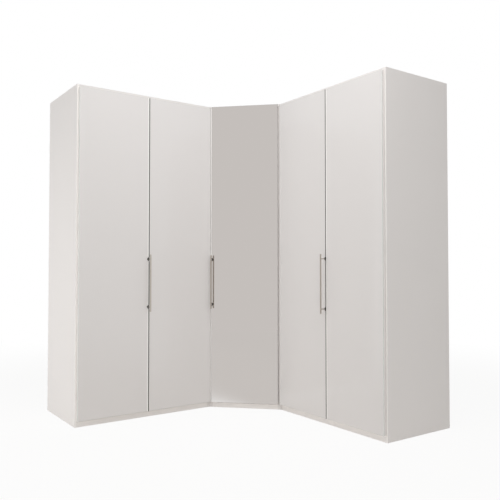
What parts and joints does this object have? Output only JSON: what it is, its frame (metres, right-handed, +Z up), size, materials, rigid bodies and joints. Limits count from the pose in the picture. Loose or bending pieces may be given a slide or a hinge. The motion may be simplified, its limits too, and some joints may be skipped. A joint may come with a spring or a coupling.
{
  "type": "corner wardrobe",
  "caption": "Corner wardrobe with two straight wings, folding gloss glass door pairs and a mirrored door set across the corner.",
  "frame": {"origin": "the room corner on the floor, where the two wall faces meet", "axes": "+Z up; +X along the right wall, +Y opposite to the left wing's run, so the left wing lies along -Y and the mirror door faces between +X and -Y"},
  "size_m": [1.909, 1.909, 2.16],
  "materials": {
    "white_board": "satin white melamine",
    "back_board": "matt white",
    "door_board": "satin white melamine",
    "lacquered_glass": "high gloss",
    "mirror_glass": "polished",
    "handle_metal": "satin",
    "hinge_steel": "nickel plated",
    "rail_chrome": "polished",
    "track_aluminium": "anodised",
    "black_plastic": "matt",
    "white_plastic": "satin"
  },
  "bodies": {
    "carcass": {"left_end_panel": "white_board", "left_inner_side": "white_board", "left_top_panel": "white_board", "left_bottom_panel": "white_board", "left_back_panel": "back_board", "left_plinth": "white_board", "left_shelf": "white_board", "left_clothes_rail": "rail_chrome", "right_end_panel": "white_board", "right_inner_side": "white_board", "right_top_panel": "white_board", "right_bottom_panel": "white_board", "right_back_panel": "back_board", "right_plinth": "white_board", "right_shelf": "white_board", "right_clothes_rail": "rail_chrome", "corner_left_side": "white_board", "corner_right_side": "white_board", "corner_top_panel": "white_board", "corner_bottom_panel": "white_board", "corner_left_back": "back_board", "corner_right_back": "back_board", "corner_back_post": "white_board", "corner_left_front_post": "white_board", "corner_right_front_post": "white_board", "corner_plinth": "white_board", "corner_shelf": "white_board", "corner_clothes_rail": "rail_chrome", "guide_tracks": "track_aluminium", "rail_flanges": "rail_chrome", "shelf_pins": "hinge_steel", "levelling_feet": "black_plastic", "hinge_arms": "hinge_steel"},
    "left_outer_leaf": {"left_outer_panel": "door_board", "left_outer_glass": "lacquered_glass", "left_outer_hinge_cups": "hinge_steel", "left_seam_hinge_outer": "hinge_steel", "left_handle": "handle_metal", "left_handle_feet": "black_plastic"},
    "left_inner_leaf": {"left_inner_panel": "door_board", "left_inner_glass": "lacquered_glass", "left_inner_hinge_set": "hinge_steel"},
    "left_guide": {"left_guide_arm": "hinge_steel", "left_guide_slider": "white_plastic"},
    "right_outer_leaf": {"right_outer_panel": "door_board", "right_outer_glass": "lacquered_glass", "right_outer_hinge_cups": "hinge_steel", "right_seam_hinge_outer": "hinge_steel"},
    "right_inner_leaf": {"right_inner_panel": "door_board", "right_inner_glass": "lacquered_glass", "right_inner_hinge_set": "hinge_steel", "right_handle": "handle_metal", "right_handle_feet": "black_plastic"},
    "right_guide": {"right_guide_arm": "hinge_steel", "right_guide_slider": "white_plastic"},
    "mirror_door": {"mirror_panel": "door_board", "mirror_glass": "mirror_glass", "mirror_hinge_cups": "hinge_steel", "mirror_handle": "handle_metal", "mirror_handle_feet": "black_plastic"}
  },
  "joints": [
    {"name": "left_fold", "type": "hinge", "parent": "carcass", "child": "left_outer_leaf", "pos_m": [0.576, -1.8915, 1], "axis": [0, 0, -1], "range_deg": [0, 80]},
    {"name": "left_seam", "type": "hinge", "parent": "left_outer_leaf", "child": "left_inner_leaf", "pos_m": [0.558, -1.41525, 1], "axis": [0, 0, 1], "range_deg": [0, 160]},
    {"name": "left_guide_swivel", "type": "hinge", "parent": "left_inner_leaf", "child": "left_guide", "pos_m": [0.576, -0.939, 1], "axis": [0, 0, -1], "range_deg": [0, 80]},
    {"name": "right_fold", "type": "hinge", "parent": "carcass", "child": "right_outer_leaf", "pos_m": [1.8915, -0.576, 1], "axis": [0, 0, 1], "range_deg": [0, 80]},
    {"name": "right_seam", "type": "hinge", "parent": "right_outer_leaf", "child": "right_inner_leaf", "pos_m": [1.41525, -0.558, 1], "axis": [0, 0, -1], "range_deg": [0, 160]},
    {"name": "right_guide_swivel", "type": "hinge", "parent": "right_inner_leaf", "child": "right_guide", "pos_m": [0.939, -0.576, 1], "axis": [0, 0, 1], "range_deg": [0, 80]},
    {"name": "mirror_door_hinge", "type": "hinge", "parent": "carcass", "child": "mirror_door", "pos_m": [0.92139, -0.59241, 1], "axis": [0, 0, 1], "range_deg": [0, 95]}
  ],
  "couplings": [
    {"joint": "left_seam", "follows": "left_fold", "ratio": 2},
    {"joint": "left_guide_swivel", "follows": "left_fold", "ratio": 1},
    {"joint": "right_seam", "follows": "right_fold", "ratio": 2},
    {"joint": "right_guide_swivel", "follows": "right_fold", "ratio": 1}
  ]
}
